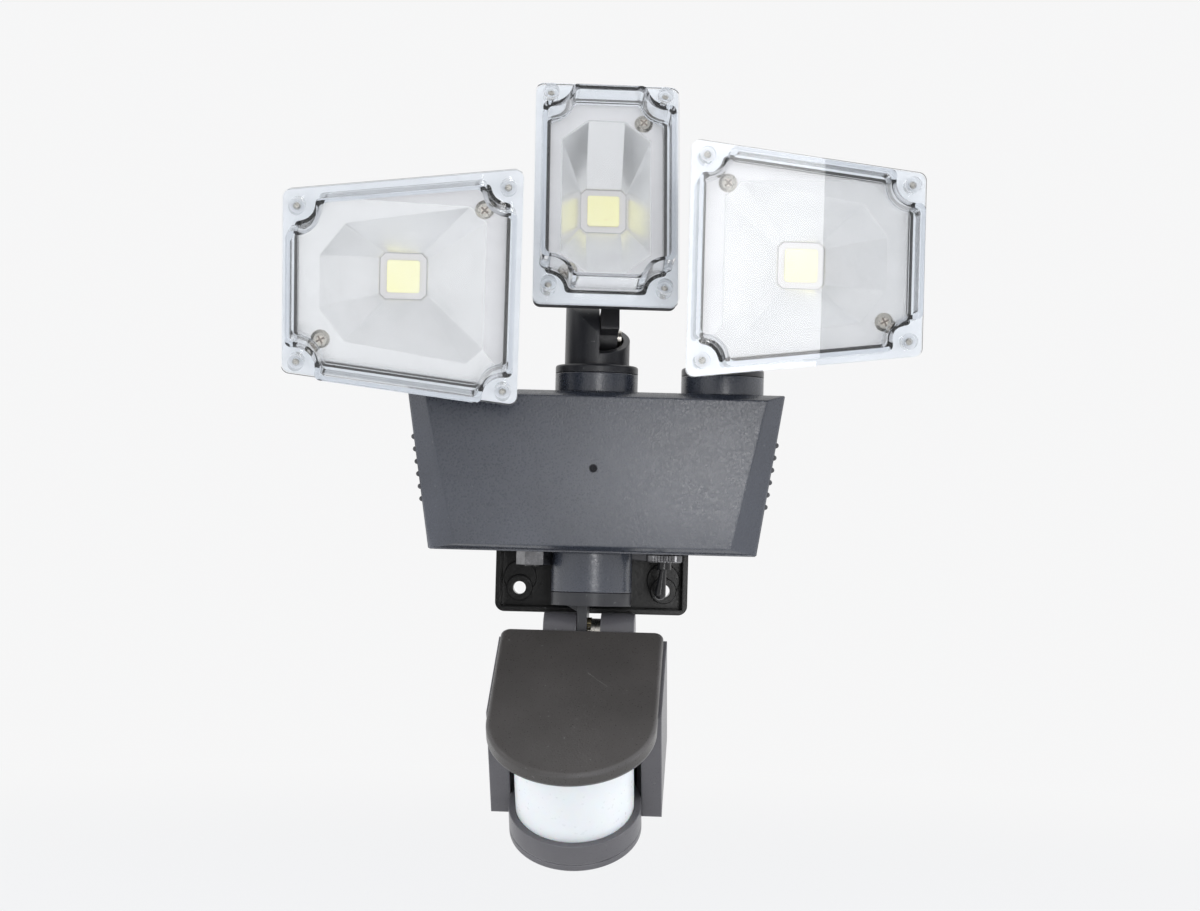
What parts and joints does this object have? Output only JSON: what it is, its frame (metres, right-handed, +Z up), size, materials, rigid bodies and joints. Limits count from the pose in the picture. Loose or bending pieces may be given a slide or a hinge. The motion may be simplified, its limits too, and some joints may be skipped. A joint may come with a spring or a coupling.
{
  "type": "motion sensor security light",
  "caption": "Battery wall light with tilting and swivelling LED heads on a slanted black housing, and a hinged motion sensor below.",
  "frame": {"origin": "centre of the wall screw pattern, on the back face of the mounting tray", "axes": "+Z up, +Y into the wall, -Y the way the light looks, +X to the right seen from the front"},
  "size_m": [0.2551, 0.1322, 0.3178],
  "materials": {
    "black_plastic": "satin",
    "black_gloss": "gloss",
    "clear_plastic": "clear",
    "milky_plastic": "satin",
    "reflector_metal": "bright",
    "zinc_screw": "satin",
    "chrome_nut": "bright",
    "rubber_seal": "matt",
    "aluminium_plate": "satin",
    "led_yellow": "satin",
    "board_green": "satin",
    "cell_wrap": "satin"
  },
  "bodies": {
    "housing": {"wall_bracket": "black_gloss", "bracket_screws": "zinc_screw", "rear_housing": "black_plastic", "front_housing": "black_plastic", "housing_seal": "rubber_seal", "housing_screws": "zinc_screw", "battery_cells": "cell_wrap", "battery_holder": "black_plastic", "control_board": "board_green", "lamp_collar_left": "black_plastic", "lamp_collar_centre": "black_plastic", "lamp_collar_right": "black_plastic", "sensor_collar": "black_plastic", "charge_inlet": "chrome_nut", "inlet_nut": "chrome_nut", "toggle_switch": "black_plastic", "toggle_nut": "chrome_nut"},
    "knuckle_left": {"knuckle_left": "black_plastic", "pivot_screw_left": "zinc_screw"},
    "head_left": {"head_housing_left": "black_plastic", "heat_plate_left": "aluminium_plate", "led_source_left": "led_yellow", "reflector_left": "reflector_metal", "reflector_screws_left": "zinc_screw", "lens_seal_left": "rubber_seal", "lens_cover_left": "clear_plastic", "lens_screws_left": "zinc_screw"},
    "knuckle_centre": {"knuckle_centre": "black_plastic", "pivot_screw_centre": "zinc_screw"},
    "head_centre": {"head_housing_centre": "black_plastic", "heat_plate_centre": "aluminium_plate", "led_source_centre": "led_yellow", "reflector_centre": "reflector_metal", "reflector_screws_centre": "zinc_screw", "lens_seal_centre": "rubber_seal", "lens_cover_centre": "clear_plastic", "lens_screws_centre": "zinc_screw"},
    "knuckle_right": {"knuckle_right": "black_plastic", "pivot_screw_right": "zinc_screw"},
    "head_right": {"head_housing_right": "black_plastic", "heat_plate_right": "aluminium_plate", "led_source_right": "led_yellow", "reflector_right": "reflector_metal", "reflector_screws_right": "zinc_screw", "lens_seal_right": "rubber_seal", "lens_cover_right": "clear_plastic", "lens_screws_right": "zinc_screw"},
    "sensor_arm": {"sensor_swivel": "black_plastic"},
    "sensor_head": {"sensor_pivot_screw": "zinc_screw", "sensor_shell": "black_plastic", "sensor_cap": "black_plastic", "sensor_window": "milky_plastic", "sensor_base": "black_plastic", "sensor_board": "board_green", "pir_detector": "chrome_nut"},
    "knob_time": {"sensor_knob_time": "black_plastic"},
    "knob_lux": {"sensor_knob_lux": "black_plastic"},
    "toggle": {"toggle_lever": "chrome_nut"}
  },
  "joints": [
    {"name": "left_swivel", "type": "hinge", "parent": "housing", "child": "knuckle_left", "pos_m": [-0.0527, -0.042, 0.0607], "axis": [0, 0, -1], "range_deg": [-1, 45]},
    {"name": "left_tilt", "type": "hinge", "parent": "knuckle_left", "child": "head_left", "pos_m": [-0.0527, -0.042, 0.076], "axis": [-0.9986, -0.0523, 0], "range_deg": [-5.5, 51.5]},
    {"name": "centre_swivel", "type": "hinge", "parent": "housing", "child": "knuckle_centre", "pos_m": [0, -0.042, 0.0607], "axis": [0, 0, 1], "range_deg": [-3, 0.5]},
    {"name": "centre_tilt", "type": "hinge", "parent": "knuckle_centre", "child": "head_centre", "pos_m": [0, -0.042, 0.076], "axis": [-0.998, -0.0628, 0], "range_deg": [-35.5, 21.5]},
    {"name": "right_swivel", "type": "hinge", "parent": "housing", "child": "knuckle_right", "pos_m": [0.0527, -0.042, 0.0607], "axis": [0, 0, 1], "range_deg": [-1, 45]},
    {"name": "right_tilt", "type": "hinge", "parent": "knuckle_right", "child": "head_right", "pos_m": [0.0527, -0.042, 0.076], "axis": [-0.9995, -0.0314, 0], "range_deg": [-20.5, 36.5]},
    {"name": "sensor_turn", "type": "hinge", "parent": "housing", "child": "sensor_arm", "pos_m": [0, -0.042, -0.0305], "axis": [0, 0, 1], "range_deg": [-67.6, 72.4]},
    {"name": "sensor_tilt", "type": "hinge", "parent": "sensor_arm", "child": "sensor_head", "pos_m": [0, -0.042, -0.0469], "axis": [0.9979, -0.0645, 0], "range_deg": [-22, 21]},
    {"name": "knob_time_turn", "type": "hinge", "parent": "sensor_head", "child": "knob_time", "pos_m": [-0.01292, -0.06676, -0.12492], "axis": [-0.0361, -0.558, 0.829], "range_deg": [-135, 135]},
    {"name": "knob_lux_turn", "type": "hinge", "parent": "sensor_head", "child": "knob_lux", "pos_m": [0.00504, -0.06792, -0.12492], "axis": [-0.0361, -0.558, 0.829], "range_deg": [-135, 135]},
    {"name": "toggle_flip", "type": "hinge", "parent": "housing", "child": "toggle", "pos_m": [0.03, -0.046, -0.01715], "axis": [0, -1, 0], "range_deg": [0, 12]}
  ]
}
